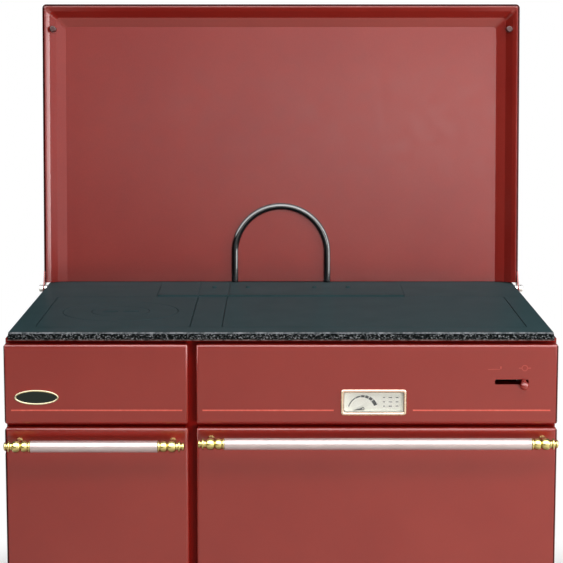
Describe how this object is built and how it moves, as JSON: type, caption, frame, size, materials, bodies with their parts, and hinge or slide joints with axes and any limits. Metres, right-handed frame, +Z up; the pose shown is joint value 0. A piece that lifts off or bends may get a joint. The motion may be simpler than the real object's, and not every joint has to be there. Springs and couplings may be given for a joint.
{
  "type": "range cooker",
  "caption": "Solid-fuel range cooker in red enamel with an iron hob, a raised lid, a fire door, a drop-down oven door, railed handles and drawers below.",
  "frame": {"origin": "middle of the footprint on the floor, under the middle of the body", "axes": "+Z up, the doors face -Y, +X to the right as seen from the front"},
  "size_m": [1.1186, 0.82, 1.4942],
  "materials": {
    "red_enamel": "glossy vitreous enamel",
    "hob_iron": "glossy dark enamel over cast iron",
    "dark_iron": "matt black",
    "black_enamel": "glossy",
    "rubber": "matt",
    "needle_black": "satin",
    "steel": "satin",
    "rail_steel": "polished",
    "brass": "polished",
    "badge_metal": "polished",
    "dial_cream": "satin",
    "clear_glass": "clear",
    "firebrick": "matt fired clay",
    "rope_seal": "matt woven rope"
  },
  "bodies": {
    "body": {"plinth": "red_enamel", "base_plate": "dark_iron", "side_panels": "red_enamel", "back_panel": "dark_iron", "front_frame": "red_enamel", "centre_wall": "dark_iron", "hob_frame": "hob_iron", "left_hotplate": "hob_iron", "centre_bar": "hob_iron", "right_hotplate": "hob_iron", "flue_cover": "hob_iron", "flue_box": "dark_iron", "flue_collar": "dark_iron", "fascia_left": "red_enamel", "fascia_right": "red_enamel", "badge": "badge_metal", "thermometer_bezel": "brass", "thermometer_dial": "dial_cream", "thermometer_glass": "clear_glass", "oven_floor": "dark_iron", "oven_sides": "dark_iron", "oven_top": "dark_iron", "oven_back": "dark_iron", "carrier_rails": "dark_iron", "shelf_runners": "steel", "oven_rack": "steel", "firebricks": "firebrick", "grate_frame": "dark_iron", "fire_grate": "dark_iron", "damper_frame": "dark_iron", "lid_hinge_pins": "steel", "lid_stops": "dark_iron", "door_hinge_arms": "steel"},
    "ring": {"hob_ring": "hob_iron"},
    "disc": {"hob_disc": "hob_iron"},
    "needle": {"thermometer_needle": "needle_black"},
    "damper": {"damper_plate": "steel", "damper_knob": "red_enamel"},
    "lid": {"lid_panel": "red_enamel", "lid_rim": "red_enamel", "notch_insert": "red_enamel", "notch_trim": "black_enamel", "lid_buffers": "rubber"},
    "fire_door": {"fire_door_skin": "red_enamel", "fire_door_liner": "dark_iron", "fire_door_seal": "rope_seal", "fire_rail_tube": "rail_steel", "fire_rail_ends": "brass"},
    "oven_door": {"oven_door_skin": "red_enamel", "oven_door_liner": "dark_iron", "oven_door_seal": "rope_seal", "oven_rail_tube": "rail_steel", "oven_rail_ends": "brass"},
    "ash_drawer": {"ash_drawer_front": "red_enamel", "ash_pan": "steel", "ash_knob": "brass"},
    "spinner": {"air_spinner": "brass"},
    "storage_drawer": {"drawer_front": "red_enamel", "drawer_box": "steel", "drawer_knobs": "brass"}
  },
  "joints": [
    {"name": "lid_hinge", "type": "hinge", "parent": "body", "child": "lid", "pos_m": [0, 0.268, 0.8415], "axis": [-1, 0, 0], "range_deg": [-94, 0]},
    {"name": "fire_door_hinge", "type": "hinge", "parent": "body", "child": "fire_door", "pos_m": [-0.54, -0.34, 0.454], "axis": [0, 0, -1], "range_deg": [0, 93]},
    {"name": "oven_door_hinge", "type": "hinge", "parent": "body", "child": "oven_door", "pos_m": [0.1905, -0.34, 0.26], "axis": [1, 0, 0], "range_deg": [0, 90], "stiffness_Nm_per_rad": 10, "springref_deg": -17.19},
    {"name": "ash_drawer_slide", "type": "slide", "parent": "body", "child": "ash_drawer", "axis": [0, -1, 0], "range_m": [0, 0.32]},
    {"name": "air_spinner_turn", "type": "hinge", "parent": "ash_drawer", "child": "spinner", "pos_m": [-0.367, -0.352, 0.17], "axis": [0, 1, 0], "range_deg": [0, 36]},
    {"name": "storage_drawer_slide", "type": "slide", "parent": "body", "child": "storage_drawer", "axis": [0, -1, 0], "range_m": [0, 0.28]},
    {"name": "damper_slide", "type": "slide", "parent": "body", "child": "damper", "axis": [1, 0, 0], "range_m": [-0.05, 0]},
    {"name": "needle_turn", "type": "hinge", "parent": "body", "child": "needle", "pos_m": [0.163, -0.345, 0.695], "axis": [0, 1, 0], "range_deg": [0, 170], "stiffness_Nm_per_rad": 0.001},
    {"name": "ring_lift", "type": "slide", "parent": "body", "child": "ring", "axis": [0, 0, 1], "range_m": [0, 0.04]},
    {"name": "disc_lift", "type": "slide", "parent": "ring", "child": "disc", "axis": [0, 0, 1], "range_m": [0, 0.03]}
  ]
}
